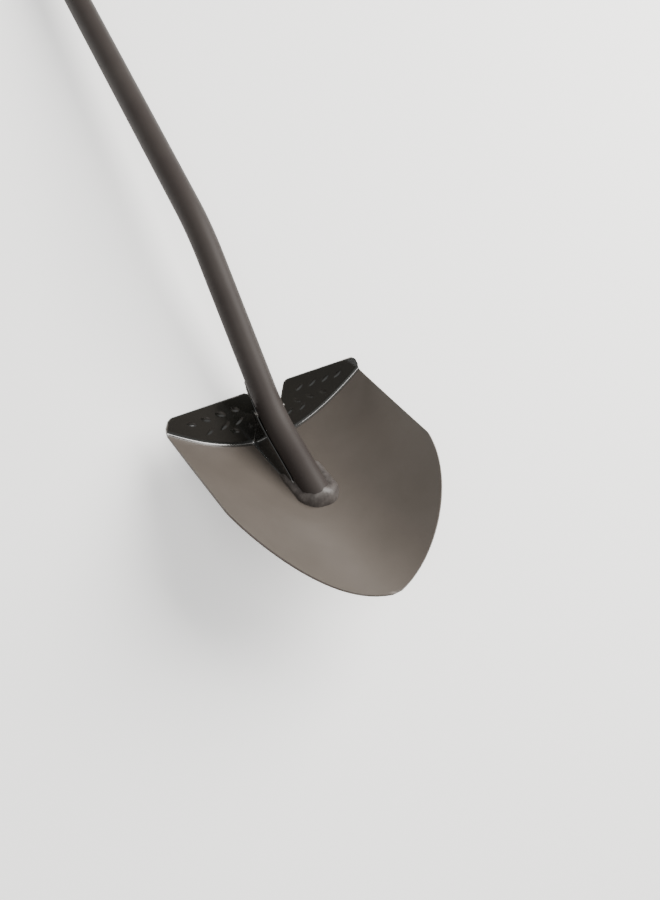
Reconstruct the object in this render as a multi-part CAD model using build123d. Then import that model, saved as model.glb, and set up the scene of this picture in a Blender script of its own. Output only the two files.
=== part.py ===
from build123d import *
import math
import os

# All-steel pointed digging spade: a pressed blade with folded foot treads, welded
# to a cranked steel tube that carries a moulded D-grip.
#
# Millimetres. The pieces are designed in the blade's frame: X across the blade,
# Y from the tip towards the handle, Z out of the hollow face. Afterwards the whole
# spade is laid on its back, on the heel of the blade and the bar of the grip.

# ---- driving dimensions: blade ----
SHEET = 2.0                    # pressed steel thickness
TREAD_Y = 254.0                # length of the face on its centre line, tip to fold
TREAD_HALF = 119.5             # half width at the fold
SHOULDER_HALF = 116.0          # half width where the sides turn in to the tip
SHOULDER_Y = 120.0
SHOULDER_TURN = 10.5           # degrees by which the tip's arc starts turned in
DISH_TIP = 60.0                # parabola of the cross section at the tip, mm per (100 mm)^2
DISH_TREAD = 42.5              # and at the treads
DISH_FLATTEN = 3.4             # fourth-power flattening near the edges, mm per (100 mm)^4
ROCK = 1.14e-4                 # lengthwise curve, per mm
ROCK_Y = 118.0                 # lowest point of the lengthwise curve
DISH_STATIONS = (-30.0, 70.0, 170.0, 330.0)  # Y of the cross sections that shape the dish
DISH_POINTS = 13               # points across each of them
DISH_MARGIN = 20.0             # they reach this far past the sides
DISH_CEILING = 170.0           # and this high above the face

# ---- driving dimensions: foot treads ----
LEAN = 5.2                     # treads lean back from square, degrees
FOLD_R = 4.5                   # inside radius of the fold
TREAD_TOP = 71.5               # height of the free edge above the face's centre
TREAD_END_HALF = 113.5         # half width at the free edge
TREAD_CORNER_R = 4.5
GAP_HALF_TOP = 22.5            # half gap between the treads at the free edge
GAP_HALF_LOW = 18.2            # and at the bottom of the notches
GAP_LOW = 49.5                 # height of the bottom of the notches
GAP_CORNER_R = 5.0
CORNER_LIFT = 0.5              # the slanted ends start this far above the face
MARK_LENGTH = 13.0             # anti-slip marks: lenses pressed towards the boot
MARK_WIDTH = 4.8
MARK_DEPTH = 1.2
MARK_ROOT = 0.2                # rooted this deep, so that it joins the sheet
MARK_PITCH = 16.7
MARK_TILT = 34.0               # degrees from the free edge, the other way in every second row
MARK_ROWS = ((56.5, 40.0, 4), (40.0, 36.5, 3), (29.3, 25.6, 2))  # height, first centre, count

# ---- driving dimensions: frog, the raised seat under the tube ----
FROG_START_Y = 188.0
FROG_FOOT_START = 17.0         # half width at its foot, tip end and fold end
FROG_FOOT_END = 20.0
FROG_CREST_DROP = 3.0          # its crests stay this far below the tube's axis
FROG_CREST_OUT = 0.4           # and this far outside the tube at the tip end
FROG_END_Y = 258.0             # runs into the treads
TONGUE_START_Y = 194.0         # the tongue grows out of the frog here
TONGUE_TAPER_Y = 256.0
TONGUE_END_Y = 298.0
TONGUE_TIP_HALF = 8.0
TONGUE_EDGE_DROP = 5.0         # its edges stay this far below the tube's axis
UNDER_BLADE = -30.0            # height that is below every part of the blade

# ---- driving dimensions: tube ----
TUBE_R = 15.0
TUBE_WALL = 1.5
TOE = (142.5, 0.85)            # tube axis where its lower end is cut, as Y and Z
SEAT_ANGLE = 19.8              # slope of the tube where it is welded to the face
SEAT_LENGTH = 110.1
RISE_ANGLE = 43.2              # slope between the two bends
RISE_LENGTH = 223.5
SHAFT_ANGLE = 26.3             # slope of the long straight shaft
SHAFT_LENGTH = 560.0
BEND_RADII = (155.0, 220.0)
SEAT_END_Y = 220.0             # the whole tube is above the face past here
BLADE_SEAT_END_Y = 234.0       # and the sheet wraps behind it past here
BORE_OVERRUN = 5.0

# ---- driving dimensions: welds ----
BEAD_R = 4.6                   # bead around the toe of the tube
BEAD_ARM_HALF = 17.6           # its arms run this far each side of the centre
BEAD_TOP_Y = 196.0
BEAD_BOTTOM_Y = 138.5
BEAD_HEIGHT = 2.2              # bead's centre above the flat plane of the face
CAP_OUT = 4.0                  # weld metal stands this far out of the tube's end
CAP_LENGTH = 10.0
NECK_BEAD_R = 2.4
NECK_BEAD_OUT = 1.6            # its centre is this far outside the tube
NECK_BEAD_ENDS = ((27.0, 62.0), (52.0, 36.0))  # along the rise, degrees turned from below

# ---- driving dimensions: D-grip ----
COLLAR_R = 19.5
COLLAR_LENGTH = 62.0
COLLAR_MOUTH_R = 18.2
TUBE_STOP = 3.0                # tube ends this far short of the yoke
BAR_Y = 92.0                   # bar's centre beyond the collar
BAR_CORE_R = 11.0
GRIP_HALF = 46.0               # centres of the yoke's outer corners
GRIP_CORNER_R = 16.0
YOKE_HALF_THICK = 11.0
YOKE_EDGE_R = 5.0
OPENING_NECK_Y = 37.0          # opening for the hand: its rounded corner at the yoke's neck
OPENING_NECK_R = 7.0
OPENING_SIDE = (34.0, 71.0)    # and its rounded corners beside the bar
OPENING_SIDE_R = 8.0
SLEEVE_GAP = 1.0               # room around the sleeve in the yoke
NECK_SWELL = 1.0               # the yoke's neck is this much fuller than the collar
SLEEVE_HALF = 40.0
SLEEVE_END_R = 15.6
SLEEVE_MID_R = 17.0
PLUG_LENGTH = 48.0
RIVET_R = 2.5
RIVET_HEAD_R = 4.6
RIVET_HEAD_RISE = 1.6
RIVET_SINK = 0.4               # heads are drawn this far into the collar
RIVET_PLACES = (-18.0, -42.0)  # along the collar, from its yoke end

FAR = 400.0                    # larger than the blade, for cutting blocks
LAYING_ROUNDS = 6              # enough for the tilt to settle


def dish_height(x, y):
    """Height of the hollow face above its flat plane."""
    share = y / TREAD_Y
    bowl = DISH_TIP + (DISH_TREAD - DISH_TIP) * share
    u = x / 100.0
    return bowl * u**2 - DISH_FLATTEN * u**4 + ROCK * (y - ROCK_Y) ** 2


def dish_slope(x, y):
    step = 0.01
    return (dish_height(x + step, y) - dish_height(x - step, y)) / (2 * step)


def dish_section(y, depth):
    """Everything in front of the sheet's surface at one Y, depth below the hollow face."""
    half = TREAD_HALF + DISH_MARGIN
    points = []
    for i in range(DISH_POINTS):
        x = half * (2 * i / (DISH_POINTS - 1) - 1.0)
        drop = depth * math.hypot(1.0, dish_slope(x, y))
        points.append(Vector(x, y, dish_height(x, y) - drop))
    left, right = Vector(-half, y, DISH_CEILING), Vector(half, y, DISH_CEILING)
    edges = [
        Spline(*points),
        Line(points[-1], right),
        Line(right, left),
        Line(left, points[0]),
    ]
    return make_face(edges)


def tread_plane(depth):
    """Plane of a tread's surface, depth behind its tip-side face. Its normal points back."""
    lean = math.radians(LEAN)
    normal = Vector(0, math.cos(lean), -math.sin(lean))
    foot = Vector(0, TREAD_Y, dish_height(0, TREAD_Y))
    return Plane(origin=foot + normal * depth, x_dir=(-1, 0, 0), z_dir=normal)


def hollow_block(depth):
    """The space that the sheet wraps around: the dish below and the treads behind."""
    sections = [dish_section(y, depth) for y in DISH_STATIONS]
    block = loft(sections)
    plane = tread_plane(depth)
    block = split(block, bisect_by=plane, keep=Keep.BOTTOM)
    on_plane = [e for e in block.edges() if abs(plane.to_local_coords(e.center()).Z) < 0.05]
    fold = min(on_plane, key=lambda e: e.center().Z)
    return fillet(fold, FOLD_R + depth)


def tip_arc_middle():
    """Middle point of the arc between the tip and the right shoulder."""
    turn = math.radians(SHOULDER_TURN)
    shoulder = Vector(SHOULDER_HALF, SHOULDER_Y, 0)
    inward = Vector(-math.cos(turn), math.sin(turn), 0)
    radius = shoulder.length**2 / (2 * (shoulder * -1).dot(inward))
    centre = shoulder + inward * radius
    return (shoulder * 0.5 - centre).normalized() * radius + centre


def outline_prism():
    """The blade's outline seen square to the face."""
    tip = Vector(0, 0, 0)
    middle = tip_arc_middle()
    shoulder = Vector(SHOULDER_HALF, SHOULDER_Y, 0)
    corner = Vector(TREAD_HALF, TREAD_Y, 0)
    far = Vector(TREAD_HALF, FAR, 0)
    right = [ThreePointArc(tip, middle, shoulder), Line(shoulder, corner), Line(corner, far)]
    left = [mirror(edge, about=Plane.YZ) for edge in right]
    close = Line(far, Vector(-TREAD_HALF, FAR, 0))
    face = make_face(right + left + [close])
    return Pos(0, 0, -FAR / 2) * extrude(face, amount=FAR, dir=(0, 0, 1))


def tread_offcut():
    """What is trimmed from the folded wall to leave the two treads."""
    corner_z = dish_height(TREAD_HALF, TREAD_Y) + CORNER_LIFT
    half = FAR / 2
    with BuildSketch() as sketch:
        with BuildLine():
            Polyline(
                (GAP_HALF_LOW, GAP_LOW),
                (GAP_HALF_TOP, TREAD_TOP),
                (TREAD_END_HALF, TREAD_TOP),
                (TREAD_HALF, corner_z),
                (half, corner_z),
                (half, half),
                (0, half),
                (0, GAP_LOW),
                close=True,
            )
        make_face()
        corners = sketch.vertices()
        inner = corners.sort_by_distance((GAP_HALF_TOP, TREAD_TOP))[0]
        outer = corners.sort_by_distance((TREAD_END_HALF, TREAD_TOP))[0]
        fillet(inner, GAP_CORNER_R)
        fillet(outer, TREAD_CORNER_R)
    upright = Plane(origin=(0, TREAD_Y - FOLD_R, 0), x_dir=(1, 0, 0), z_dir=(0, -1, 0))
    right = extrude(upright * sketch.sketch, amount=-FAR)
    return [right, mirror(right, about=Plane.YZ)]


def tread_mark():
    """One lens-shaped mark: the cap of a sunk spindle along X, rising in +Z."""
    sunk = (MARK_WIDTH**2 / 4 - MARK_DEPTH**2) / (2 * MARK_DEPTH)
    spindle_r = sunk + MARK_DEPTH
    arc_r = (MARK_LENGTH**2 / 4 + MARK_DEPTH**2) / (2 * MARK_DEPTH)
    half = math.sqrt(arc_r**2 - (arc_r - spindle_r) ** 2)
    arc = ThreePointArc((-half, 0, 0), (0, spindle_r, 0), (half, 0, 0))
    face = make_face([arc, Line((half, 0, 0), (-half, 0, 0))])
    spindle = Pos(0, 0, -sunk) * revolve(face, axis=Axis.X)
    slab = Pos(0, 0, MARK_DEPTH - MARK_ROOT) * Box(2 * half, 3 * MARK_WIDTH, 2 * MARK_DEPTH)
    return spindle & slab


def mark_places():
    """Centre, height and tilt of each mark on the right tread."""
    places = []
    tilt = MARK_TILT
    for height, first, count in MARK_ROWS:
        places += [(first + MARK_PITCH * i, height, tilt) for i in range(count)]
        tilt = -tilt
    return places


def marks(depth):
    """The marks of both treads, standing on the tread surface that is depth behind."""
    lens = tread_mark()
    plane = tread_plane(depth)
    placed = []
    for x, height, tilt in mark_places():
        rise = (height - plane.origin.Z) / math.cos(math.radians(LEAN))
        for side in (1, -1):
            centre = plane.origin + Vector(side * x, 0, 0) + plane.y_dir * rise
            frame = Plane(origin=centre, x_dir=plane.x_dir, z_dir=plane.z_dir)
            placed.append(frame * Rot(0, 0, -side * tilt) * lens)
    return placed


def direction(angle):
    turn = math.radians(angle)
    return Vector(0, math.cos(turn), math.sin(turn))


def tube_corners():
    toe = Vector(0, *TOE)
    first = toe + direction(SEAT_ANGLE) * SEAT_LENGTH
    second = first + direction(RISE_ANGLE) * RISE_LENGTH
    top = second + direction(SHAFT_ANGLE) * SHAFT_LENGTH
    return [toe, first, second, top]


def rod(radius, start_back=0.0):
    """Solid round bar along the tube's axis, started further down if asked."""
    toe = tube_corners()[0] - direction(SEAT_ANGLE) * start_back
    path = FilletPolyline(toe, *tube_corners()[1:], radius=list(BEND_RADII))
    section = Plane(origin=toe, z_dir=direction(SEAT_ANGLE)) * Circle(radius)
    return sweep(section, path=path)


def axis_height(y):
    """Height of the tube's axis at Y, along its first two straights."""
    _, first, _, _ = tube_corners()
    angle = SEAT_ANGLE if y < first.Y else RISE_ANGLE
    return first.Z + (y - first.Y) * math.tan(math.radians(angle))


def frog_section(y, foot, crest, inset, low):
    height = axis_height(y) - FROG_CREST_DROP - inset
    corners = [
        (foot - inset, low), (crest - inset, height), (inset - crest, height), (inset - foot, low),
    ]
    points = [Vector(x, y, z) for x, z in corners]
    return make_face(Polyline(*points, close=True))


def frog_tent(inset, low):
    """Steep-sided ridge under the tube, from the toe weld to the treads."""
    start = frog_section(FROG_START_Y, FROG_FOOT_START, TUBE_R + FROG_CREST_OUT, inset, low)
    end = frog_section(FROG_END_Y, FROG_FOOT_END, TUBE_R + SHEET, inset, low)
    return loft([start, end], ruled=True)


def tongue(jacket):
    """The sheet's tongue that lies behind the tube, narrowing upwards."""
    bend = tube_corners()[1]
    top = [Vector(0, y, axis_height(y) - TONGUE_EDGE_DROP)
           for y in (TONGUE_START_Y, bend.Y, TONGUE_END_Y)]
    side = [Vector(0, TONGUE_START_Y, UNDER_BLADE), *top, Vector(0, TONGUE_END_Y, UNDER_BLADE)]
    width = 2 * TUBE_R
    below = extrude(make_face(Polyline(*side, close=True)), amount=width, dir=(1, 0, 0), both=True)
    full = TUBE_R + SHEET
    plan = [
        (-full, TONGUE_START_Y), (full, TONGUE_START_Y), (full, TONGUE_TAPER_Y),
        (TONGUE_TIP_HALF, TONGUE_END_Y), (-TONGUE_TIP_HALF, TONGUE_END_Y), (-full, TONGUE_TAPER_Y),
    ]
    shape = extrude(make_face(Polyline(*plan, close=True)), amount=FAR, dir=(0, 0, 1), both=True)
    return jacket & below & shape


def make_blade(front, bar, jacket):
    """One pressed sheet: dish, folded treads with marks, frog and tongue."""
    sheet = hollow_block(SHEET) - front
    sheet = sheet & outline_prism()
    for block in tread_offcut():
        sheet -= block
    for lens in marks(SHEET):
        sheet += lens
    for lens in marks(0.0):
        sheet -= lens
    low = dish_height(0, FROG_START_Y) - 0.5 * SHEET
    sheet += frog_tent(0.0, low)
    sheet -= frog_tent(SHEET, UNDER_BLADE) - jacket
    sheet += tongue(jacket)
    sheet -= bar & front_side(front)
    return sheet


def front_side(front):
    """Where the tube may be: in front of the face, and anywhere past the treads."""
    beyond = Pos(0, BLADE_SEAT_END_Y + FAR, 0) * Box(FAR, 2 * FAR, 2 * FAR)
    return front + beyond


def make_tube(bar, front):
    """The cranked tube, its lower end cut to lie on the face."""
    bore = rod(TUBE_R - TUBE_WALL, start_back=BORE_OVERRUN)
    width = 4 * TUBE_R
    below_face = Pos(0, SEAT_END_Y - FAR / 2, 0) * Box(width, FAR, width) - front
    return bar - bore - below_face


def make_toe_weld(blade, tube, front):
    """Bead around the toe of the tube, and the weld metal that closes its end."""
    round_y = BEAD_BOTTOM_Y + BEAD_ARM_HALF
    half = BEAD_ARM_HALF
    path = Wire([
        Line((half, BEAD_TOP_Y, BEAD_HEIGHT), (half, round_y, BEAD_HEIGHT)),
        ThreePointArc(
            (half, round_y, BEAD_HEIGHT), (0, BEAD_BOTTOM_Y, BEAD_HEIGHT), (-half, round_y, BEAD_HEIGHT)
        ),
        Line((-half, round_y, BEAD_HEIGHT), (-half, BEAD_TOP_Y, BEAD_HEIGHT)),
    ])
    start = Plane(origin=(half, BEAD_TOP_Y, BEAD_HEIGHT), z_dir=(0, -1, 0))
    bead = sweep(start * Circle(BEAD_R), path=path)
    for side in (half, -half):
        bead += Pos(side, BEAD_TOP_Y, BEAD_HEIGHT) * Sphere(BEAD_R)
    toe = tube_corners()[0]
    end_plane = Plane(origin=toe - direction(SEAT_ANGLE) * CAP_OUT, z_dir=direction(SEAT_ANGLE))
    cap = extrude(end_plane * Circle(TUBE_R - TUBE_WALL), amount=CAP_LENGTH)
    shoulder = extrude(end_plane * Circle(TUBE_R - 0.5 * TUBE_WALL), amount=CAP_OUT)
    weld = (bead + cap + shoulder) & front
    return weld - tube - blade


def make_neck_weld(side, blade, bar):
    """Short bead where an edge of the tongue meets the tube."""
    first = tube_corners()[1]
    rise = direction(RISE_ANGLE)
    normal = Vector(0, -rise.Z, rise.Y)
    spots = []
    for along, turn in NECK_BEAD_ENDS:
        angle = math.radians(turn)
        out = Vector(side * math.sin(angle), 0, 0) - normal * math.cos(angle)
        spots.append(first + rise * along + out * (TUBE_R + NECK_BEAD_OUT))
    start, end = spots
    section = Plane(origin=start, z_dir=end - start) * Circle(NECK_BEAD_R)
    bead = extrude(section, amount=(end - start).length)
    return bead - bar - blade


def grip_frame_plane():
    """Plane of the D: its X across the spade, its Y on along the shaft, from the yoke end."""
    top = tube_corners()[3] + direction(SHAFT_ANGLE) * TUBE_STOP
    along = direction(SHAFT_ANGLE)
    return Plane(origin=top, x_dir=(1, 0, 0), z_dir=Vector(0, -along.Z, along.Y))


def cylinder_along_y(radius, start, end):
    frame = Plane(origin=(0, start, 0), x_dir=(1, 0, 0), z_dir=(0, 1, 0))
    return extrude(frame * Circle(radius), amount=end - start)


def cylinder_along_x(radius, half):
    frame = Plane(origin=(-half, BAR_Y, 0), x_dir=(0, 1, 0), z_dir=(1, 0, 0))
    return extrude(frame * Circle(radius), amount=2 * half)


def make_rivets():
    """Two round-headed rivets through collar, tube and plug."""
    rivets = []
    for place in RIVET_PLACES:
        reach = COLLAR_R - RIVET_SINK
        shank = Pos(0, place, 0) * Cylinder(RIVET_R, 2 * reach)
        dome = RIVET_HEAD_R**2 / (2 * RIVET_HEAD_RISE) + RIVET_HEAD_RISE / 2
        ball = Pos(0, place, reach + RIVET_HEAD_RISE - dome) * Sphere(dome)
        slab = Pos(0, place, reach + RIVET_HEAD_RISE / 2)
        head = ball & slab * Cylinder(RIVET_HEAD_R, RIVET_HEAD_RISE)
        rivets.append(shank + head + mirror(head, about=Plane.XY))
    return rivets


def triangle_hull(apex, corner, place):
    """Outline drawn tight around a disc at the apex and one at each side."""
    x, y = place
    discs = (apex, Pos(x, y) * corner, Pos(-x, y) * corner)
    return make_hull(discs[0].edges() + discs[1].edges() + discs[2].edges())


def make_grip_frame(rivets):
    """Moulded yoke: collar over the tube, two arms and the core of the bar."""
    outer = triangle_hull(Circle(COLLAR_R), Circle(GRIP_CORNER_R), (GRIP_HALF, BAR_Y))
    neck = Pos(0, OPENING_NECK_Y) * Circle(OPENING_NECK_R)
    opening = triangle_hull(neck, Circle(OPENING_SIDE_R), OPENING_SIDE)
    plate = extrude(outer, amount=YOKE_HALF_THICK, both=True)
    plate -= extrude(opening, amount=YOKE_HALF_THICK, both=True)
    caps = [e for e in plate.edges() if abs(abs(e.center().Z) - YOKE_HALF_THICK) < 0.01]
    plate = fillet(caps, YOKE_EDGE_R)
    plate -= cylinder_along_x(SLEEVE_MID_R + SLEEVE_GAP, SLEEVE_HALF)
    plate += cylinder_along_x(BAR_CORE_R, SLEEVE_HALF)
    ring = Plane(origin=(0, -COLLAR_LENGTH, 0), x_dir=(1, 0, 0), z_dir=(0, 1, 0))
    mouth = ring * Circle(COLLAR_MOUTH_R)
    shoulder = ring.offset(COLLAR_LENGTH) * Circle(COLLAR_R + NECK_SWELL)
    collar = loft([mouth, shoulder])
    dome = Sphere(COLLAR_R + NECK_SWELL)
    frame = plate + collar + (dome & Pos(0, FAR / 2, 0) * Box(FAR, FAR, FAR))
    frame -= cylinder_along_y(TUBE_R, -2 * COLLAR_LENGTH, -TUBE_STOP)
    for rivet in rivets:
        frame -= rivet
    return frame


def make_sleeve():
    """Barrel-shaped soft sleeve moulded over the bar."""
    end, mid = SLEEVE_END_R, SLEEVE_MID_R
    profile = [
        Line((-SLEEVE_HALF, BAR_CORE_R, 0), (-SLEEVE_HALF, end, 0)),
        ThreePointArc((-SLEEVE_HALF, end, 0), (0, mid, 0), (SLEEVE_HALF, end, 0)),
        Line((SLEEVE_HALF, end, 0), (SLEEVE_HALF, BAR_CORE_R, 0)),
        Line((SLEEVE_HALF, BAR_CORE_R, 0), (-SLEEVE_HALF, BAR_CORE_R, 0)),
    ]
    return Pos(0, BAR_Y, 0) * revolve(make_face(profile), axis=Axis.X)


def make_plug(rivets):
    """Bung inside the top of the tube, which the rivets clamp on."""
    plug = cylinder_along_y(TUBE_R - TUBE_WALL, -TUBE_STOP - PLUG_LENGTH, -TUBE_STOP)
    for rivet in rivets:
        plug -= rivet
    return plug


def make_pieces():
    front = hollow_block(0.0)
    bar = rod(TUBE_R)
    blade = make_blade(front, bar, rod(TUBE_R + SHEET))
    tube = make_tube(bar, front)
    grip = grip_frame_plane()
    local_rivets = make_rivets()
    rivets = [grip * rivet for rivet in local_rivets]
    for rivet in rivets:
        tube -= rivet
    return {
        "blade": blade,
        "shaft_tube": tube,
        "toe_weld": make_toe_weld(blade, tube, front),
        "neck_weld_left": make_neck_weld(-1, blade, bar),
        "neck_weld_right": make_neck_weld(1, blade, bar),
        "tube_plug": grip * make_plug(local_rivets),
        "grip_frame": grip * make_grip_frame(local_rivets),
        "grip_sleeve": grip * make_sleeve(),
        "grip_rivets": Compound(children=rivets),
    }


def lay_down(pieces):
    """Turns the spade about X until heel and grip rest on the floor, then centres it."""
    tilt = SHAFT_ANGLE
    for _ in range(LAYING_ROUNDS):
        heel = Rot(-tilt, 0, 0) * pieces["blade"]
        hand = Rot(-tilt, 0, 0) * pieces["grip_sleeve"]
        heel_box, hand_box = heel.bounding_box(), hand.bounding_box()
        reach = hand_box.center().Y - TREAD_Y
        tilt += math.degrees(math.atan((hand_box.min.Z - heel_box.min.Z) / reach))
    laid = {name: Rot(-tilt, 0, 0) * piece for name, piece in pieces.items()}
    boxes = [piece.bounding_box() for piece in laid.values()]
    low_y, high_y = min(box.min.Y for box in boxes), max(box.max.Y for box in boxes)
    low_z = min(box.min.Z for box in boxes)
    shift = Pos(0, -(low_y + high_y) / 2, -low_z)
    return {name: shift * piece for name, piece in laid.items()}


os.makedirs("parts", exist_ok=True)
for name, piece in lay_down(make_pieces()).items():
    export_step(piece, "parts/" + name + ".step")
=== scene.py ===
"""Looks of the garden spade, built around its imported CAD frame. Metres, +Z up, spade on its back."""
import math

import bpy
from mathutils import Matrix, Vector


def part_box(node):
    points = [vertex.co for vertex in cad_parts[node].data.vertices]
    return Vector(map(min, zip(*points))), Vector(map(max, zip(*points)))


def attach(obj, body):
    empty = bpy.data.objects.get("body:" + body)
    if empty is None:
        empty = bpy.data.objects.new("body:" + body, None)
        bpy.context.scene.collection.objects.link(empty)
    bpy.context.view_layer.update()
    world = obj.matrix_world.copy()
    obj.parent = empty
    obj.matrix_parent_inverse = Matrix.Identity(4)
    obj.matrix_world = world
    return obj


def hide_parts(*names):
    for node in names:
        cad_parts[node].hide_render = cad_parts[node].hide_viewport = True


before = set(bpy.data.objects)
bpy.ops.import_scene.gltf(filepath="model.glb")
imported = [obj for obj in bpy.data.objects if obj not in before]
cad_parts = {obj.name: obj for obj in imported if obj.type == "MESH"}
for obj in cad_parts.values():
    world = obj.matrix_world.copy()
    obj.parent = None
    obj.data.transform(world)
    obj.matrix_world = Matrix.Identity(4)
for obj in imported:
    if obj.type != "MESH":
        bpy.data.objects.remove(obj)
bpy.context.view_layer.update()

MM = 0.001

# ---- the spade's design, in the blade's own frame (mm), as in the CAD ----
LAY_TILT = 32.0254             # degrees that the spade is turned by to lie on its back
SHEET = 2.0
SQUARE_EDGE = 1.3              # the back of the sheet's square edge stands this far out
TREAD_Y = 254.0
TREAD_HALF = 119.5
SHOULDER_HALF = 116.0
SHOULDER_Y = 120.0
SHOULDER_TURN = 10.5
DISH_TIP = 60.0
DISH_TREAD = 42.5
DISH_FLATTEN = 3.4
ROCK = 1.14e-4
ROCK_Y = 118.0
LEAN = 5.2
FOLD_R = 4.5
TREAD_TOP = 71.5
TREAD_END_HALF = 113.5
TREAD_CORNER_R = 4.5
GAP_HALF_TOP = 22.5
GAP_CORNER_R = 5.0
MARK_LENGTH = 13.0
MARK_WIDTH = 4.8
MARK_DEPTH = 1.2
MARK_PITCH = 16.7
MARK_TILT = 34.0
MARK_ROUNDING = 0.75
MARK_ROWS = ((56.5, 40.0, 4), (40.0, 36.5, 3), (29.3, 25.6, 2))
FROG_START_Y = 158.0
FROG_FULL_Y = 180.0
FROG_FOOT_START = 18.0
FROG_FOOT_END = 25.0
TONGUE_TAPER_Y = 256.0
TONGUE_END_Y = 298.0
TONGUE_TIP_HALF = 8.0
TUBE_R = 15.0
TUBE_WALL = 1.5
TOE = (142.5, 0.85)
SEAT_ANGLE = 19.8
SEAT_LENGTH = 110.1
RISE_ANGLE = 43.2
RISE_LENGTH = 223.5
SHAFT_ANGLE = 26.3
SHAFT_LENGTH = 560.0
BEND_RADII = (155.0, 220.0)
TUBE_STOP = 3.0
BAR_Y = 92.0
BAR_CORE_R = 11.0
SLEEVE_HALF = 40.0
SLEEVE_END_R = 15.6
SLEEVE_MID_R = 17.0
SLEEVE_ROUND = 1.6             # rounding of the sleeve's ends
SLEEVE_GROOVE = 0.9            # depth of the grooves between its ribs
SLEEVE_PITCH = 7.0
SLEEVE_STEPS, SLEEVE_SIDES = 170, 96
BEAD_ARM_HALF = 17.6
BEAD_TOP_Y = 196.0
BEAD_BOTTOM_Y = 138.5
BEAD_R = 4.6
NECK_BEAD_R = 2.4
NECK_BEAD_ENDS = ((27.0, 62.0), (52.0, 36.0))   # (mm past the first bend, degrees round the tube)
SLOPE_STEP = 0.05              # step for the dish's slope
TUBE_STEP = 1.0                # between the tube's rings, and four times that on the shaft


def heading(angle):
    """Unit vector in the plane of symmetry that climbs at this angle from the blade's face."""
    turn = math.radians(angle)
    return Vector((0, math.cos(turn), math.sin(turn)))


def across(angle):
    """Unit vector square to the tube's heading, on the side that faces up from the blade."""
    turn = math.radians(angle)
    return Vector((0, -math.sin(turn), math.cos(turn)))


def tube_corners():
    """Toe, first bend, second bend and top of the tube's axis, with the bends as sharp corners."""
    toe = Vector((0, *TOE))
    first = toe + heading(SEAT_ANGLE) * SEAT_LENGTH
    second = first + heading(RISE_ANGLE) * RISE_LENGTH
    top = second + heading(SHAFT_ANGLE) * SHAFT_LENGTH
    return toe, first, second, top


def bar_centre():
    return tube_corners()[3] + heading(SHAFT_ANGLE) * (TUBE_STOP + BAR_Y)


def blade_to_row():
    """Matrix from the blade's frame in mm to the row frame in metres."""
    turn = Matrix.Rotation(math.radians(-LAY_TILT), 4, "X") @ Matrix.Scale(MM, 4)
    low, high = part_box("grip_sleeve")
    return Matrix.Translation((low + high) / 2 - turn @ bar_centre()) @ turn


TO_ROW = blade_to_row()


# ---- shape formulas of the sheet and the tube (mm, blade's frame) ----
def smooth(low, high, value):
    """0 below low, 1 above high, and a smooth step between."""
    t = min(1.0, max(0.0, (value - low) / (high - low)))
    return t * t * (3.0 - 2.0 * t)


def mix(a, b, t):
    return a + (b - a) * t


def dish_height(x, y):
    """Height of the face: deeper towards the tip, and rocked a little along its length."""
    bowl = mix(DISH_TIP, DISH_TREAD, y / TREAD_Y)
    u = x / 100.0
    return bowl * u**2 - DISH_FLATTEN * u**4 + ROCK * (y - ROCK_Y) ** 2


def dish_slope(x, y):
    return (dish_height(x + SLOPE_STEP, y) - dish_height(x - SLOPE_STEP, y)) / (2 * SLOPE_STEP)


def lean_shift(z):
    """How far the treads' lean carries a point at this height towards the handle."""
    return math.tan(math.radians(LEAN)) * (z - dish_height(0, TREAD_Y))


def half_width(y):
    """Half width of the outline: an arc from tip to shoulder, then a straight side."""
    if y >= SHOULDER_Y:
        side = mix(SHOULDER_HALF, TREAD_HALF, (y - SHOULDER_Y) / (TREAD_Y - SHOULDER_Y))
        return side - SQUARE_EDGE
    turn = math.radians(SHOULDER_TURN)
    inward = Vector((-math.cos(turn), math.sin(turn)))
    shoulder = Vector((SHOULDER_HALF, SHOULDER_Y))
    radius = shoulder.length_squared / (-2.0 * shoulder.dot(inward))
    centre = shoulder + inward * radius
    side = centre.x + math.sqrt(max(0.0, radius**2 - (y - centre.y) ** 2))
    return max(0.0, side - SQUARE_EDGE * smooth(0.0, SHOULDER_Y, y))


def straight(places, start, end, angle, step):
    count = int((end - start).length / step)
    for i in range(count):
        places.append((start.lerp(end, i / count), angle))


def tube_line():
    """Points and headings along the tube's axis, with the bends as arcs."""
    toe, first, second, top = tube_corners()
    angles = (SEAT_ANGLE, RISE_ANGLE, SHAFT_ANGLE)
    places = []
    start = toe
    for corner, before, after, radius in zip((first, second), angles, angles[1:], BEND_RADII):
        turn = math.radians(after - before)
        reach = radius * abs(math.tan(turn / 2))
        end = corner - heading(before) * reach
        straight(places, start, end, before, TUBE_STEP)
        side = 1.0 if turn > 0 else -1.0
        centre = end + across(before) * radius * side
        count = int(radius * abs(turn) / TUBE_STEP)
        for i in range(count):
            angle = mix(before, after, i / count)
            places.append((centre - across(angle) * radius * side, angle))
        start = corner + heading(after) * reach
    straight(places, start, top, angles[-1], 4 * TUBE_STEP)
    places.append((top, angles[-1]))
    return places


TUBE_LINE = tube_line()


def axis_at(y):
    """Height and slope of the tube's axis above a point of the blade's centre line."""
    for (low, angle), (high, _) in zip(TUBE_LINE, TUBE_LINE[1:]):
        if low.y <= y <= high.y:
            t = (y - low.y) / (high.y - low.y)
            return mix(low.z, high.z, t), angle
    point, angle = TUBE_LINE[0]
    return point.z + (y - point.y) * math.tan(math.radians(angle)), angle


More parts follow.
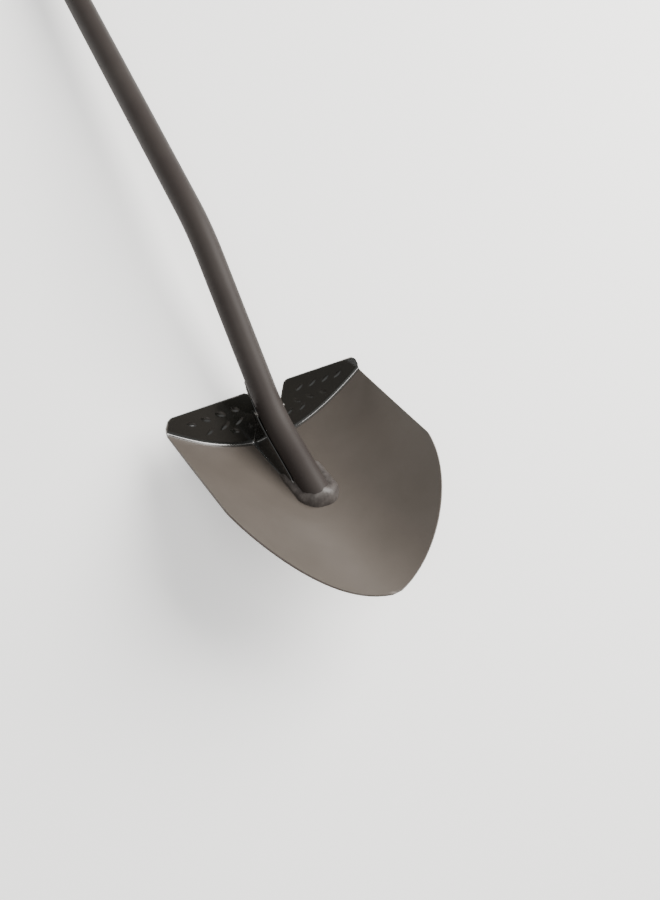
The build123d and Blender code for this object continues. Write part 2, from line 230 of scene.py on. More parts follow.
# ---- the blade's mesh: rows from the tip up the face, round the fold and up the treads ----
TIP_START_Y = 1.2
CRADLE_TURN = 78.0             # degrees of the tube that the cradle holds, each side
CRADLE_GAP = 0.15
CREST_R = 1.25                 # roll of the sheet at the frog's crests
CREST_GAUGE = 0.45             # share of the sheet's thickness left at the crests
WALL_GAUGE_RATE = 3.0          # how soon the frog's wall is back to full thickness
WALL_SPREAD, WALL_FOOT = 1.6, 2.6      # powers that shape the wall's spread and its foot
FOLD_SLOPE_MAX = 1.2           # slope of the dish that the fold's rounding allows for
# Limits over which the glossy near-black, painted shade in the fold's crease, comes in across the
# fold's rows.
FOLD_GLOSS_SHADE_START, FOLD_GLOSS_SHADE_FULL = -3.0, 0.6  # rows, and share of the rows, of the fold
TREAD_GAUGE_RATE = 4.0
TONGUE_LEAD = 8.0              # how far before TONGUE_TAPER_Y the tongue starts to narrow
TONGUE_WRAP = 8.0              # degrees that the tongue reaches past the cradle
TONGUE_FLARE, FLARE_POWER = 0.2, 6
TONGUE_GAUGE = 0.8
TIP_CROWDING = 1.15            # power that packs the rows closer towards the tip
LEAN_RUN = 60.0                # length of the face that takes up the treads' lean
RIM_WIDTH, RIM_SEGMENTS, RIM_ANGLE = 0.45, 2, 60
CRADLE_COLUMNS, CREST_COLUMNS, WALL_COLUMNS, FACE_COLUMNS = 12, 6, 9, 96
FACE_ROWS, FROG_ROWS, FOLD_ROWS, TREAD_ROWS, TONGUE_ROWS = 44, 42, 8, 58, 22


def half_columns(y):
    """One half of a row across the face at Y, from the middle out: (x, z, gauge, gloss and painted
    shade).
    """
    axis, angle = axis_at(y)
    rise = smooth(FROG_START_Y, FROG_FULL_Y, y)
    along = min(1.0, max(0.0, (y - FROG_START_Y) / (TREAD_Y - FROG_START_Y)))
    radius = TUBE_R + CRADLE_GAP
    cosine = math.cos(math.radians(angle))
    points = []                # the cradle, the crest, the wall and then the face
    for i in range(CRADLE_COLUMNS):
        turn = math.radians(CRADLE_TURN * i / CRADLE_COLUMNS)
        points.append((radius * math.sin(turn), axis - radius * math.cos(turn) / cosine, 1.0))
    turn = math.radians(CRADLE_TURN)
    lip_x, lip_z = radius * math.sin(turn), axis - radius * math.cos(turn) / cosine
    for i in range(CREST_COLUMNS + 1):
        roll = math.pi * i / CREST_COLUMNS
        x = lip_x + CREST_R - CREST_R * math.cos(roll)
        points.append((x, lip_z + CREST_R * math.sin(roll), CREST_GAUGE))
    wall_x = lip_x + 2 * CREST_R
    foot_x = mix(FROG_FOOT_START, FROG_FOOT_END, along)
    for i in range(1, WALL_COLUMNS + 1):
        t = i / WALL_COLUMNS
        x = mix(wall_x, foot_x, t**WALL_SPREAD)
        drop = 1.0 - (1.0 - t) ** WALL_FOOT
        gauge = mix(CREST_GAUGE, 1.0, min(1, WALL_GAUGE_RATE * t))
        points.append((x, mix(lip_z, dish_height(foot_x, y), drop), gauge))
    for i in range(1, FACE_COLUMNS + 1):
        x = mix(foot_x, half_width(max(y, SHOULDER_Y)), i / FACE_COLUMNS)
        points.append((x, dish_height(x, y), 1.0))
    if y < SHOULDER_Y:
        shrink = half_width(y) / half_width(SHOULDER_Y)
        points = [(x * shrink, 0.0, gauge) for x, _, gauge in points]
    blended = []
    for i, (x, z, gauge) in enumerate(points):
        floor = dish_height(x, y)
        # Painted shade: the cradle, crest and frog wall get the glossy near-black colour, as if in
        # shade.
        gloss_and_shade = rise if i < CRADLE_COLUMNS + CREST_COLUMNS + WALL_COLUMNS else 0.0
        blended.append((x, mix(floor, max(z, floor), rise), mix(1.0, gauge, rise), gloss_and_shade))
    return blended


def mark_depth(x, z):
    """How far the sheet is pressed towards the boot at a point of a tread."""
    x = abs(x)
    tilt = MARK_TILT
    for height, first, count in MARK_ROWS:
        for i in range(count):
            dx, dz = x - (first + MARK_PITCH * i), z - height
            if abs(dx) < MARK_LENGTH and abs(dz) < MARK_LENGTH:
                turn = math.radians(tilt)
                a = (dx * math.cos(turn) + dz * math.sin(turn)) * 2 / MARK_LENGTH
                b = (dz * math.cos(turn) - dx * math.sin(turn)) * 2 / MARK_WIDTH
                lens = 1.0 - a * a
                if lens > 0 and abs(b) < lens:
                    return MARK_DEPTH * (lens - b * b / lens) ** MARK_ROUNDING
        tilt = -tilt
    return 0.0


def round_corner(p, q, radius):
    """Moves a point near a square corner, at p and q from its sides, on to a rounded one."""
    if p >= radius or q >= radius:
        return p, q
    u, v = radius - p, radius - q
    squeeze = max(u, v) / math.hypot(u, v)
    return radius - u * squeeze, radius - v * squeeze


def tread_point(x, z):
    """Place of a tread's point, from its distance across and its height."""
    lean = math.radians(LEAN)
    depth = mark_depth(x, z)
    y = TREAD_Y + lean_shift(z) + depth * math.cos(lean)
    return Vector((x, y, z - depth * math.sin(lean)))


def tread_columns(foot):
    """Rows of one tread, right side, from foot, which is the half row where the fold starts."""
    inner_x, outer_x = foot[0][0], foot[-1][0]
    rows = []
    for j in range(1, FOLD_ROWS + 1):
        turn = math.pi / 2 * j / FOLD_ROWS
        # Painted shade along the fold's crease, together with its gloss.
        fold_gloss_and_shade = smooth(FOLD_GLOSS_SHADE_START, FOLD_GLOSS_SHADE_FULL * FOLD_ROWS, j)
        row = []
        for x, z, gauge, gloss in foot:
            slope = min(FOLD_SLOPE_MAX, abs(dish_slope(x, TREAD_Y)))
            climb = FOLD_R * math.hypot(1.0, slope)
            rise = climb * (1.0 - math.cos(turn))
            y = TREAD_Y - FOLD_R + FOLD_R * math.sin(turn) + lean_shift(z + rise)
            row.append((Vector((x, y, z + rise)), gauge, max(gloss, fold_gloss_and_shade)))
        rows.append(row)
    fold_end = rows[-1]
    inner_z, corner_z = fold_end[0][0].z, fold_end[-1][0].z
    for j in range(1, TREAD_ROWS + 1):
        v = j / TREAD_ROWS
        row = []
        for (x, _, gauge, _), (point, _, _) in zip(foot, fold_end):
            share = (x - inner_x) / (outer_x - inner_x)
            top_x = mix(GAP_HALF_TOP, TREAD_END_HALF, share)
            px, pz = mix(point.x, top_x, v), mix(point.z, TREAD_TOP, v)
            down = TREAD_TOP - pz
            edge_in = mix(GAP_HALF_TOP, inner_x, down / (TREAD_TOP - inner_z))
            edge_out = mix(TREAD_END_HALF, outer_x, min(1.0, down / (TREAD_TOP - corner_z)))
            q_in, down_in = round_corner(px - edge_in, down, GAP_CORNER_R)
            q_out, down_out = round_corner(edge_out - px, down, TREAD_CORNER_R)
            if px - edge_in < edge_out - px:
                px, pz = edge_in + q_in, TREAD_TOP - down_in
            else:
                px, pz = edge_out - q_out, TREAD_TOP - down_out
            gauge = mix(gauge, 1.0, min(1.0, TREAD_GAUGE_RATE * v))
            # The treads are all glossy near-black: painted shade together with their gloss.
            row.append((tread_point(px, pz), gauge, 1.0))
        rows.append(row)
    return rows


def tongue_rows(cradle_count):
    """Rows of the tongue behind the tube, one half, from the middle out."""
    tip = math.degrees(math.asin(TONGUE_TIP_HALF / TUBE_R))
    rows = []
    for j in range(1, TONGUE_ROWS + 1):
        y = mix(TREAD_Y - FOLD_R, TONGUE_END_Y, j / TONGUE_ROWS)
        axis, angle = axis_at(y)
        taper = smooth(TONGUE_TAPER_Y - TONGUE_LEAD, TONGUE_END_Y, y)
        reach = mix(CRADLE_TURN + TONGUE_WRAP, tip, taper)
        row = []
        for i in range(cradle_count):
            turn = math.radians(reach * i / (cradle_count - 1))
            flare = TUBE_R + CRADLE_GAP + TONGUE_FLARE * (i / (cradle_count - 1)) ** FLARE_POWER
            x, drop = flare * math.sin(turn), flare * math.cos(turn)
            point = Vector((x, y, axis - drop / math.cos(math.radians(angle))))
            # The tongue behind the tube is glossy near-black: painted shade together with its gloss.
            row.append((point, TONGUE_GAUGE, 1.0))
        rows.append(row)
    return rows


def mesh_object(name, vertices, faces):
    """Smooth-shaded object from points in the blade's frame."""
    mesh = bpy.data.meshes.new(name)
    mesh.from_pydata([TO_ROW @ Vector(v) for v in vertices], [], faces)
    mesh.update()
    piece = bpy.data.objects.new(name, mesh)
    bpy.context.scene.collection.objects.link(piece)
    for polygon in mesh.polygons:
        polygon.use_smooth = True
    return piece


class Grid:
    """Collects rows of points that mirror about the middle, and the faces between them."""

    def __init__(self):
        self.vertices, self.gauges, self.gloss, self.faces, self.seen = [], [], [], [], {}

    def add(self, point, gauge, gloss):
        key = (round(point.x, 4), round(point.y, 4), round(point.z, 4))
        if key not in self.seen:
            self.seen[key] = len(self.vertices)
            self.vertices.append(point)
            self.gauges.append(gauge)
            self.gloss.append(gloss)
        return self.seen[key]

    def row(self, points, side):
        """Adds a row of (point, gauge, gloss and painted shade), mirrored where side is -1."""
        return [self.add(Vector((side * p.x, p.y, p.z)), *rest) for p, *rest in points]

    def strip(self, low, high, side):
        for a, b, c, d in zip(low, low[1:], high[1:], high):
            corners = [a, b, c, d] if side > 0 else [d, c, b, a]
            loop = [v for i, v in enumerate(corners) if v != corners[i - 1]]
            if len(set(loop)) >= 3:
                self.faces.append(loop)


def make_blade():
    """The pressed sheet: a single surface given its thickness towards the back."""
    grid = Grid()
    ys = [mix(TIP_START_Y, FROG_START_Y, (i / FACE_ROWS) ** TIP_CROWDING)
          for i in range(FACE_ROWS)]
    top = TREAD_Y - FOLD_R
    ys += [mix(FROG_START_Y, top, i / FROG_ROWS) for i in range(FROG_ROWS + 1)]
    cradle_count = CRADLE_COLUMNS + CREST_COLUMNS // 2 + 1
    rows = []
    for y in ys:
        near = smooth(TREAD_Y - LEAN_RUN, top, y)
        row = []
        for x, z, gauge, gloss in half_columns(y):
            row.append((Vector((x, y + near * lean_shift(z), z)), gauge, gloss))
        rows.append(row)
    foot = half_columns(top)
    treads = tread_columns(foot[cradle_count - 1:])
    tongue = tongue_rows(cradle_count)
    for side in (1, -1):
        ids = [grid.row(row, side) for row in rows]
        for low, high in zip(ids, ids[1:]):
            grid.strip(low, high, side)
        top_row = ids[-1]
        for low, upper_rows in ((top_row[cradle_count - 1:], treads), (top_row[:cradle_count], tongue)):
            for row in upper_rows:
                high = grid.row(row, side)
                grid.strip(low, high, side)
                low = high
    piece = mesh_object("blade_sheet", grid.vertices, grid.faces)
    group = piece.vertex_groups.new(name="gauge")
    for index, gauge in enumerate(grid.gauges):
        group.add([index], gauge, "REPLACE")
    # Mask for the glossy near-black that paints shade on the treads, fold, frog walls, cradle and
    # tongue.
    gloss_and_painted_shade = piece.data.attributes.new("gloss_and_painted_shade", "FLOAT", "POINT")
    gloss_and_painted_shade.data.foreach_set("value", grid.gloss)
    solid = piece.modifiers.new("thickness", "SOLIDIFY")
    solid.thickness = SHEET * MM
    solid.offset = -1.0
    solid.vertex_group = "gauge"
    solid.use_even_offset = True
    solid.thickness_clamp = 0.0
    rim = piece.modifiers.new("rim", "BEVEL")
    rim.width = RIM_WIDTH * MM
    rim.segments = RIM_SEGMENTS
    rim.limit_method = "ANGLE"
    rim.angle_limit = math.radians(RIM_ANGLE)
    return piece


# ---- the tube, the beads and the sleeve ----
TOE_ROUND = 4.0                # how far the tube's end is rounded over
TUBE_SIDES = 72
SEAT_CLEARANCE = 0.25
BORE_START_Y = 190.0           # the bore starts past the part that is pressed flat by the face


def ring_faces(rings, count, joined=False, inward=False):
    """Faces between rings of points, capped at both ends unless the last ring joins the first."""
    faces = []
    for i in range(rings if joined else rings - 1):
        low, high = i * count, (i + 1) % rings * count
        for k in range(count):
            j = (k + 1) % count
            if inward:
                faces.append((low + k, high + k, high + j, low + j))
            else:
                faces.append((low + k, low + j, high + j, high + k))
    if not joined:
        step = 1 if inward else -1
        faces.append(list(range(count))[::step])
        faces.append([(rings - 1) * count + k for k in range(count)][::-step])
    return faces


def tube_ring(point, angle, radius):
    """Ring of points round the tube's axis."""
    up = across(angle)
    ring = []
    for i in range(TUBE_SIDES):
        turn = 2 * math.pi * i / TUBE_SIDES
        ring.append(point + up * (radius * math.cos(turn)) + Vector((radius * math.sin(turn), 0, 0)))
    return ring


def make_tube():
    """The cranked tube: its lower end seated on the face and closed, its upper end open."""
    vertices = []
    for point, angle in TUBE_LINE:
        inward = 1.0 - min(1.0, (point - TUBE_LINE[0][0]).length / TOE_ROUND)
        ring = tube_ring(point, angle, TUBE_R - TOE_ROUND * (1.0 - math.sqrt(1.0 - inward**2)))
        for place in ring:
            floor = dish_height(place.x, place.y) + SEAT_CLEARANCE
            if place.y < FROG_FULL_Y and place.z < floor:
                place.z = floor
        vertices += ring
    bore = [place for place in TUBE_LINE if place[0].y > BORE_START_Y]
    for point, angle in reversed(bore):
        vertices += tube_ring(point, angle, TUBE_R - TUBE_WALL)
    faces = ring_faces(len(vertices) // TUBE_SIDES, TUBE_SIDES)
    return mesh_object("cranked_tube", vertices, faces)


def bezier(points, t):
    """Point of a curve that starts at the first point, ends at the last and is pulled by the rest."""
    while len(points) > 1:
        points = [a.lerp(b, t) for a, b in zip(points, points[1:])]
    return points[0]


BEAD_SIDES, BEAD_STEPS = 20, 170
BEAD_END_RUN = 9.0             # length over which each end of the bead swells to full size
BEAD_END_SHARE = 0.5           # share of its width at its very ends
BEAD_RIPPLE, BEAD_WAVE = (0.07, 1.9), (0.22, 0.43)     # (height, turns in radians per mm)
BEAD_TOE_WIDER, BEAD_RIGHT_WIDER = 1.6, 3.6            # extra metal at the toe and on its right
FLANK_OUT = (13.2, 10.5)       # reach where the bead meets the tube: on the arms, at the toe
FLANK_Z = (3.0, 8.5, 17.2)     # its height: at the bead's ends, on the arms, at the toe
KNEE_OUT = (17.5, 20.5)        # the same for the point that pulls the bead round
KNEE_Z = (2.0, 7.5, 17.0)
KNEE_RIGHT_OUT, KNEE_RIGHT_Z = 3.2, 4.0
SKIRT_IN, SKIRT_Z = 0.6, (1.2, 4.5)
FOOT_SINK, UNDER_SINK = 0.3, 0.8


def make_toe_weld():
    """Bead round the toe, rising over the tube's end to close it."""
    round_y = BEAD_BOTTOM_Y + BEAD_ARM_HALF
    arm = BEAD_TOP_Y - round_y
    half_turn = math.pi * BEAD_ARM_HALF
    total = 2 * arm + half_turn
    vertices = []
    for s in range(BEAD_STEPS + 1):
        run = total * s / BEAD_STEPS
        turn = min(math.pi / 2, max(-math.pi / 2, (arm + half_turn / 2 - run) / BEAD_ARM_HALF))
        slide = max(0.0, arm - run, run - arm - half_turn)
        out = Vector((math.sin(turn), -math.cos(turn), 0.0))
        swell = math.sin(math.pi / 2 * min(1.0, min(run, total - run) / BEAD_END_RUN))
        ripple = (BEAD_RIPPLE[0] * math.sin(run * BEAD_RIPPLE[1] + math.sin(run * 0.5))
                  + BEAD_WAVE[0] * math.sin(run * BEAD_WAVE[1] + 1.0))
        centre = Vector((0, round_y + slide, 0))
        toe = max(0.0, math.cos(turn)) ** 1.5
        right = smooth(-0.3, 0.8, out.x)
        spread = BEAD_R + BEAD_RIGHT_WIDER * right + BEAD_TOE_WIDER * toe + ripple
        foot = centre + out * (BEAD_ARM_HALF + mix(BEAD_END_SHARE, 1.0, swell) * spread)
        foot.z = dish_height(foot.x, foot.y) - FOOT_SINK
        flank = centre + out * mix(*FLANK_OUT, toe)
        flank.z = mix(mix(FLANK_Z[0], FLANK_Z[1], swell), FLANK_Z[2], toe)
        knee = centre + out * mix(*KNEE_OUT, toe) + out * (KNEE_RIGHT_OUT * right + ripple)
        knee.z = mix(mix(KNEE_Z[0], KNEE_Z[1] + KNEE_RIGHT_Z * right, swell), KNEE_Z[2], toe)
        skirt = foot - out * SKIRT_IN
        skirt.z = foot.z + mix(*SKIRT_Z, swell)
        for k in range(BEAD_SIDES):
            vertices.append(bezier([flank, knee, skirt, foot], k / (BEAD_SIDES - 1)))
        under = flank.lerp(foot, 0.5)
        under.z = dish_height(under.x, under.y) - UNDER_SINK
        vertices.append(under)
    faces = ring_faces(BEAD_STEPS + 1, BEAD_SIDES + 1, inward=True)
    return mesh_object("toe_bead", vertices, faces)


NECK_RINGS, NECK_SIDES = 44, 16
NECK_LIFT = 1.0                # the bead's middle stands this far off the tube
NECK_TAPER = 0.16              # share of the bead's length that tapers at each end
NECK_RIPPLES = ((0.10, 62.0, 0.0), (0.05, 23.0, 2.0))  # (share of radius, waves, start)


def make_neck_weld(side):
    """Short bead that joins an edge of the tongue to the tube, behind the first bend."""
    first = tube_corners()[1]
    up = across(RISE_ANGLE)
    ends = []
    for along, turn in NECK_BEAD_ENDS:
        angle = math.radians(turn)
        out = Vector((side * math.sin(angle), 0, 0)) - up * math.cos(angle)
        ends.append(first + heading(RISE_ANGLE) * along + out * (TUBE_R + NECK_LIFT))
    start, end = ends
    way = (end - start).normalized()
    beside = way.cross(Vector((side, 0, 0))).normalized()
    above = way.cross(beside)
    vertices = []
    for i in range(NECK_RINGS + 1):
        t = i / NECK_RINGS
        taper = math.sin(math.pi * min(t, 1.0 - t, NECK_TAPER) / (2 * NECK_TAPER)) ** 0.6
        ripple = 1.0
        for share, waves, begin in NECK_RIPPLES:
            ripple += share * math.sin(t * waves + begin)
        radius = max(0.05, NECK_BEAD_R * taper * ripple)
        centre = start.lerp(end, t)
        for k in range(NECK_SIDES):
            turn = 2 * math.pi * k / NECK_SIDES
            vertices.append(centre + (beside * math.cos(turn) + above * math.sin(turn)) * radius)
    name = "neck_bead_left" if side < 0 else "neck_bead_right"
    return mesh_object(name, vertices, ring_faces(NECK_RINGS + 1, NECK_SIDES))


def make_sleeve():
    """Soft sleeve with shallow ribs, fullest in the middle of the bar."""
    profile = [(-SLEEVE_HALF, BAR_CORE_R)]                 # (distance along the bar, radius)
    for i in range(SLEEVE_STEPS + 1):
        x = SLEEVE_HALF * (2 * i / SLEEVE_STEPS - 1.0)
        swell = SLEEVE_END_R + (SLEEVE_MID_R - SLEEVE_END_R) * (1.0 - (x / SLEEVE_HALF) ** 2)
        end = max(0.0, 1.0 - (SLEEVE_HALF - abs(x)) / SLEEVE_ROUND)
        rounding = SLEEVE_ROUND * (1.0 - math.sqrt(1.0 - end**2))
        groove = SLEEVE_GROOVE * max(0.0, math.cos(2 * math.pi * x / SLEEVE_PITCH)) ** 6
        if abs(x) >= SLEEVE_HALF - SLEEVE_PITCH:
            groove = 0.0
        profile.append((x, swell - rounding - groove))
    profile.append((SLEEVE_HALF, BAR_CORE_R))
    forward, up = heading(SHAFT_ANGLE), across(SHAFT_ANGLE)
    vertices = []
    for x, radius in profile:
        for k in range(SLEEVE_SIDES):
            turn = 2 * math.pi * k / SLEEVE_SIDES
            out = forward * math.cos(turn) + up * math.sin(turn)
            vertices.append(bar_centre() + Vector((x, 0, 0)) + out * radius)
    faces = ring_faces(len(profile), SLEEVE_SIDES, joined=True)
    return mesh_object("grip_sleeve_ribbed", vertices, faces)


# ---- materials ----
# Near-black painted shade for the treads, fold, frog walls, cradle and tongue; the roughness and coat
# below make the same places glossy.
PAINTED_SHADE_BLACK = (0.007, 0.0072, 0.006)
GLOSSY_ROUGHNESS = (0.16, 0.16, 0.16)
WORN_ENAMEL = (0.2, 0.18, 0.16)
POLISHED_NYLON = (0.07, 0.07, 0.068)
ROUGHNESS_SPREAD = 0.03
GLOSSY_COAT = 0.9
EDGE_WEAR, EDGE_SHARP = 0.5, 0.62      # most of the worn colour, at this pointiness


class Nodes:
    """A material with a Principled shader, and short ways to add nodes to it."""

    def __init__(self, name):
        self.material = bpy.data.materials.new(name)
        self.material.use_nodes = True
        self.tree = self.material.node_tree
        self.shader = self.tree.nodes["Principled BSDF"]
        self.place = self.add("ShaderNodeTexCoord").outputs["Object"]

    def add(self, kind, **values):
        node = self.tree.nodes.new(kind)
        for key, value in values.items():
            setattr(node, key, value)
        return node

    def link(self, output, socket):
        self.tree.links.new(output, socket)

    def set(self, **values):
        for key, value in values.items():
            self.shader.inputs[key.replace("_", " ")].default_value = value

    def noise(self, scale, detail=4.0, rough=0.55, stretch=None):
        source = self.place
        if stretch:
            mapping = self.add("ShaderNodeMapping")
            mapping.inputs["Scale"].default_value = stretch
            self.link(source, mapping.inputs["Vector"])
            source = mapping.outputs["Vector"]
        node = self.add("ShaderNodeTexNoise")
        node.inputs["Scale"].default_value = scale
        node.inputs["Detail"].default_value = detail
        node.inputs["Roughness"].default_value = rough
        self.link(source, node.inputs["Vector"])
        return node.outputs["Fac"]

    def ramp(self, value, stops):
        """Colour ramp through stops of (position, colour)."""
        node = self.add("ShaderNodeValToRGB")
        elements = node.color_ramp.elements
        while len(elements) < len(stops):
            elements.new(0.5)
        for element, (position, colour) in zip(elements, stops):
            element.position = position
            element.color = (*colour, 1.0)
        self.link(value, node.inputs["Fac"])
        return node.outputs["Color"]

    def worn_edges(self, start):
        """Share of the worn colour, from the pointiness of the mesh."""
        pointiness = self.add("ShaderNodeNewGeometry").outputs["Pointiness"]
        return self.spread(pointiness, 0.0, EDGE_WEAR, start, EDGE_SHARP)

    def spread(self, value, low, high, from_low=0.0, from_high=1.0):
        """A value between from_low and from_high, moved to between low and high."""
        node = self.add("ShaderNodeMapRange")
        for name, number in zip(("From Min", "From Max", "To Min", "To Max"),
                                (from_low, from_high, low, high)):
            node.inputs[name].default_value = number
        self.link(value, node.inputs["Value"])
        return node.outputs["Result"]

    def blend(self, share, first, second):
        node = self.add("ShaderNodeMix", data_type="RGBA")
        self.link(share, node.inputs["Factor"])
        for source, socket in ((first, node.inputs[6]), (second, node.inputs[7])):
            if isinstance(source, tuple):
                socket.default_value = (*source, 1.0)
            else:
                self.link(source, socket)
        return node.outputs[2]

    def bump(self, layers):
        """Bump from layers of (height, strength, distance in metres), one over the other."""
        below = None
        for height, strength, distance in layers:
            node = self.add("ShaderNodeBump")
            node.inputs["Strength"].default_value = strength
            node.inputs["Distance"].default_value = distance
            self.link(height, node.inputs["Height"])
            if below:
                self.link(below, node.inputs["Normal"])
            below = node.outputs["Normal"]
        self.link(below, self.shader.inputs["Normal"])


def enamel(name, dark, light, rough, gloss):
    """Brown-black stoving enamel: faint clouds, orange peel, and a worn look on sharp edges.

    Where the blade's gloss-and-shade attribute is 1 it is glossy, and its colour is darkened to near
    black as painted shade.
    """
    m = Nodes(name)
    gloss_and_shade = m.add("ShaderNodeAttribute", attribute_name="gloss_and_painted_shade").outputs["Fac"]
    tone = m.ramp(m.noise(14.0, 5.0), ((0.3, dark), (0.7, light)))
    # Painted shade: the colour is darkened to near black where the gloss-and-shade mask is 1.
    tone = m.blend(gloss_and_shade, tone, PAINTED_SHADE_BLACK)
    m.link(m.blend(m.worn_edges(0.54), tone, WORN_ENAMEL), m.shader.inputs["Base Color"])
    streaks = m.spread(m.noise(30.0, 4.0, stretch=(3.0, 0.35, 0.35)),
                       rough - ROUGHNESS_SPREAD, rough + ROUGHNESS_SPREAD)
    m.link(m.blend(gloss_and_shade, streaks, GLOSSY_ROUGHNESS), m.shader.inputs["Roughness"])
    m.bump(((m.noise(900.0, 2.0), 0.08, 0.0001), (m.noise(300.0, 2.0), 0.10, 0.0001)))
    m.link(m.spread(gloss_and_shade, 0.0, GLOSSY_COAT), m.shader.inputs["Coat Weight"])
    m.set(Specular_IOR_Level=gloss, Coat_Roughness=0.12, Coat_IOR=1.8)
    return m.material


def weld_enamel():
    """Enamel over weld metal: lighter and warmer, with fine sand-like grain."""
    m = Nodes("enamelled_weld")
    grain = m.noise(700.0, 3.0, 0.6)
    tone = m.ramp(m.noise(160.0, 4.0), ((0.32, (0.040, 0.034, 0.031)), (0.68, (0.075, 0.066, 0.061))))
    m.link(tone, m.shader.inputs["Base Color"])
    m.link(m.spread(m.noise(240.0, 2.0), 0.38, 0.55), m.shader.inputs["Roughness"])
    m.bump(((grain, 0.35, 0.0004), (m.noise(190.0, 3.0), 0.4, 0.0008)))
    m.set(Specular_IOR_Level=0.4, Coat_Weight=0.12, Coat_Roughness=0.3)
    return m.material


def nylon(name, dark, light):
    """Moulded nylon with a spark-eroded grain."""
    m = Nodes(name)
    cells = m.add("ShaderNodeTexVoronoi")
    cells.inputs["Scale"].default_value = 1500.0
    m.link(m.place, cells.inputs["Vector"])
    tone = m.ramp(m.noise(30.0, 4.0), ((0.3, dark), (0.7, light)))
    m.link(m.blend(m.worn_edges(0.53), tone, POLISHED_NYLON), m.shader.inputs["Base Color"])
    m.link(m.spread(m.noise(45.0, 3.0), 0.42, 0.58), m.shader.inputs["Roughness"])
    m.bump(((cells.outputs["Distance"], 0.35, 0.0002), (m.noise(260.0, 3.0), 0.15, 0.0003)))
    m.set(Specular_IOR_Level=0.45)
    return m.material


def rubber():
    """Matt elastomer, lighter in its pores."""
    m = Nodes("soft_sleeve")
    pores = m.noise(900.0, 3.0, 0.65)
    tone = m.ramp(pores, ((0.35, (0.018, 0.018, 0.019)), (0.75, (0.042, 0.041, 0.040))))
    m.link(tone, m.shader.inputs["Base Color"])
    m.link(m.spread(m.noise(25.0, 3.0), 0.62, 0.82), m.shader.inputs["Roughness"])
    m.bump(((pores, 0.3, 0.0003),))
    m.set(Specular_IOR_Level=0.35, Sheen_Weight=0.15, Sheen_Roughness=0.5)
    return m.material


def zinc():
    """Bright zinc plating with fine spangle."""
    m = Nodes("plated_rivet")
    spangle = m.noise(700.0, 3.0)
    tone = m.ramp(spangle, ((0.3, (0.42, 0.42, 0.42)), (0.7, (0.62, 0.61, 0.59))))
    m.link(tone, m.shader.inputs["Base Color"])
    m.link(m.spread(m.noise(500.0, 3.0), 0.24, 0.42), m.shader.inputs["Roughness"])
    m.bump(((spangle, 0.15, 0.0001),))
    m.set(Metallic=1.0)
    return m.material


def coat(piece, material):
    """Gives every face of a piece one material."""
    if not piece.data.materials:
        piece.data.materials.append(material)
    for slot in piece.material_slots:
        slot.material = material


# ---- the pieces ----
steel = enamel("enamelled_steel", (0.074, 0.063, 0.053), (0.088, 0.075, 0.064), 0.42, 0.4)
tubing = enamel("enamelled_tube", (0.034, 0.028, 0.026), (0.042, 0.036, 0.033), 0.48, 0.12)
bead_finish = weld_enamel()

for piece, node, slot, finish in (
    (make_blade(), "blade", "enamelled_steel", steel),
    (make_tube(), "shaft_tube", "enamelled_tube", tubing),
    (make_toe_weld(), "toe_weld", "enamelled_weld", bead_finish),
    (make_neck_weld(-1), "neck_weld_left", "enamelled_weld", bead_finish),
    (make_neck_weld(1), "neck_weld_right", "enamelled_weld", bead_finish),
    (make_sleeve(), "grip_sleeve", "soft_sleeve", rubber()),
):
    coat(piece, finish)
    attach(piece, "root")
    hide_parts(node)

carried_over = {
    "tube_plug": nylon("moulded_plug", (0.035, 0.035, 0.036), (0.055, 0.055, 0.055)),
    "grip_frame": nylon("moulded_grip", (0.014, 0.014, 0.015), (0.026, 0.026, 0.026)),
    "grip_rivets": zinc(),
}
for node, finish in carried_over.items():
    coat(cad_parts[node], finish)


# ---- floor, light and camera ----
CAMERA_SPOT = Vector((-300.77, -354.31, 590.92))           # blade's frame, as are the next two
CAMERA_RIGHT = Vector((0.855866, -0.516912, 0.017206))
CAMERA_UP = Vector((0.334115, 0.577986, 0.744513))
CAMERA_LENS = 42.817
LIGHT_TINT = (1.0, 0.98, 0.95)
LIT_POINT = Vector((0, 150, 20))
FLOOR_HALF = 40.0
FLOOR_GLOW = 0.5
HORIZON_AT, HORIZON_GREY = 0.05, 0.42
ZENITH_AT, ZENITH_GREY = 0.75, 1.0
WORLD_STRENGTH = 0.55


def place_camera():
    """Camera above the tip's left side, looking along the spade."""
    turn = TO_ROW.to_3x3() * (1 / MM)
    axes = (CAMERA_RIGHT, CAMERA_UP, CAMERA_RIGHT.cross(CAMERA_UP))
    matrix = Matrix([turn @ axis for axis in axes]).transposed().to_4x4()
    matrix.translation = TO_ROW @ CAMERA_SPOT
    camera = bpy.data.objects.new("camera", bpy.data.cameras.new("camera"))
    camera.matrix_world = matrix
    camera.data.sensor_fit = "HORIZONTAL"
    camera.data.sensor_width = 36.0
    camera.data.lens = CAMERA_LENS
    camera.data.clip_start = 0.01
    bpy.context.scene.collection.objects.link(camera)
    bpy.context.scene.camera = camera


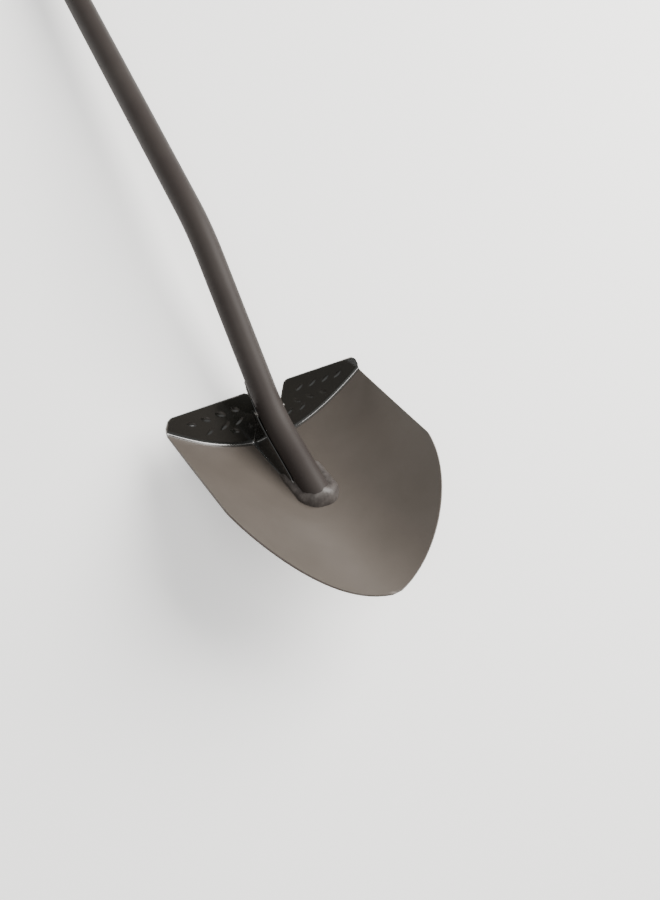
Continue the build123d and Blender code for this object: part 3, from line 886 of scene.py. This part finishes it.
def softbox(name, target, azimuth, elevation, distance, size, watts):
    """Area light at a bearing from a target: azimuth 0 is +Y, towards the grip, and 90 is +X."""
    az, el = math.radians(azimuth), math.radians(elevation)
    way = Vector((math.sin(az) * math.cos(el), math.cos(az) * math.cos(el), math.sin(el)))
    light = bpy.data.lights.new(name, "AREA")
    light.shape = "RECTANGLE"
    light.size, light.size_y = size
    light.energy = watts
    light.color = LIGHT_TINT
    lamp = bpy.data.objects.new(name, light)
    lamp.location = target + way * distance
    lamp.rotation_euler = way.to_track_quat("Z", "Y").to_euler()
    bpy.context.scene.collection.objects.link(lamp)


def make_floor():
    mesh = bpy.data.meshes.new("floor")
    corners = [(x * FLOOR_HALF, y * FLOOR_HALF, 0) for x, y in ((-1, -1), (1, -1), (1, 1), (-1, 1))]
    mesh.from_pydata(corners, [], [(0, 1, 2, 3)])
    floor = bpy.data.objects.new("floor", mesh)
    bpy.context.scene.collection.objects.link(floor)
    m = Nodes("pale_floor")
    m.set(Base_Color=(0.9, 0.9, 0.89, 1.0), Roughness=0.8, Specular_IOR_Level=0.1)
    m.set(Emission_Color=(1.0, 1.0, 1.0, 1.0), Emission_Strength=FLOOR_GLOW)
    mesh.materials.append(m.material)


def make_world():
    """Grey gradient, lighter towards the zenith."""
    world = bpy.data.worlds.new("studio")
    world.use_nodes = True
    tree = world.node_tree
    background = tree.nodes["Background"]
    place = tree.nodes.new("ShaderNodeTexCoord")
    axes = tree.nodes.new("ShaderNodeSeparateXYZ")
    ramp = tree.nodes.new("ShaderNodeValToRGB")
    horizon, zenith = ramp.color_ramp.elements
    horizon.position, horizon.color = HORIZON_AT, (*[HORIZON_GREY] * 3, 1.0)
    zenith.position, zenith.color = ZENITH_AT, (*[ZENITH_GREY] * 3, 1.0)
    tree.links.new(place.outputs["Generated"], axes.inputs["Vector"])
    tree.links.new(axes.outputs["Z"], ramp.inputs["Fac"])
    tree.links.new(ramp.outputs["Color"], background.inputs["Color"])
    background.inputs["Strength"].default_value = WORLD_STRENGTH
    bpy.context.scene.world = world


make_floor()
make_world()
place_camera()
middle = TO_ROW @ LIT_POINT
softbox("key", middle, azimuth=75, elevation=46, distance=2.6, size=(2.1, 2.1), watts=180)
softbox("high_left", middle, azimuth=-102, elevation=70, distance=1.8, size=(0.3, 1.1), watts=11)
